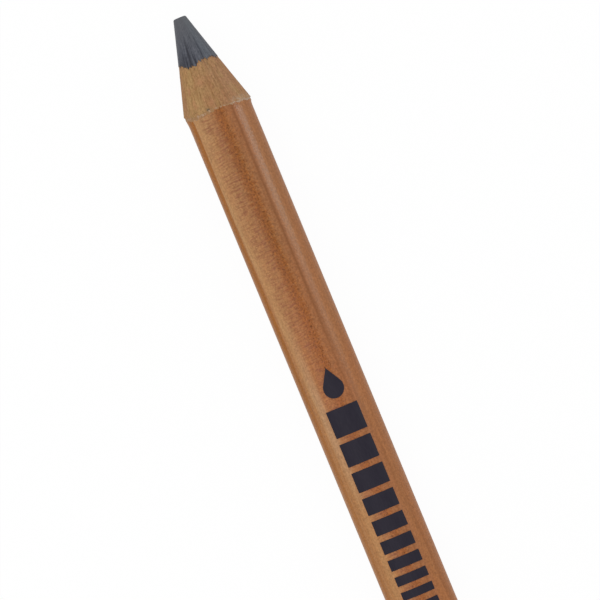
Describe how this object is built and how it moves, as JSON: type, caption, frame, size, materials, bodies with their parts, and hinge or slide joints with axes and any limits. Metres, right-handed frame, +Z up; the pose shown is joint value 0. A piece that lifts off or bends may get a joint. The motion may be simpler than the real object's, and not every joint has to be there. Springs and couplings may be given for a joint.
{
  "type": "water-soluble graphite pencil",
  "caption": "Round wooden drawing pencil with a thick water-soluble graphite lead, a sharpened blunt point and a clear lacquered barrel.",
  "frame": {"origin": "under the middle of the pencil, on the surface that it lies on", "axes": "+X along the pencil from its back end to its point, +Z up, away from that surface"},
  "size_m": [0.175, 0.0078, 0.0079],
  "materials": {
    "graphite": "dull grey, cut by a sharpener",
    "cedar_wood": "bare, freshly cut",
    "wood_glue": "thin film",
    "lacquered_wood": "clear gloss over wood grain",
    "dark_foil": "stamped foil, satin"
  },
  "bodies": {
    "root": {"lead_core": "graphite", "left_slat": "cedar_wood", "right_slat": "cedar_wood", "lead_glue": "wood_glue", "upper_joint_glue": "wood_glue", "lower_joint_glue": "wood_glue", "clear_lacquer": "lacquered_wood", "drop_mark": "dark_foil", "tone_stripes": "dark_foil"}
  },
  "joints": []
}
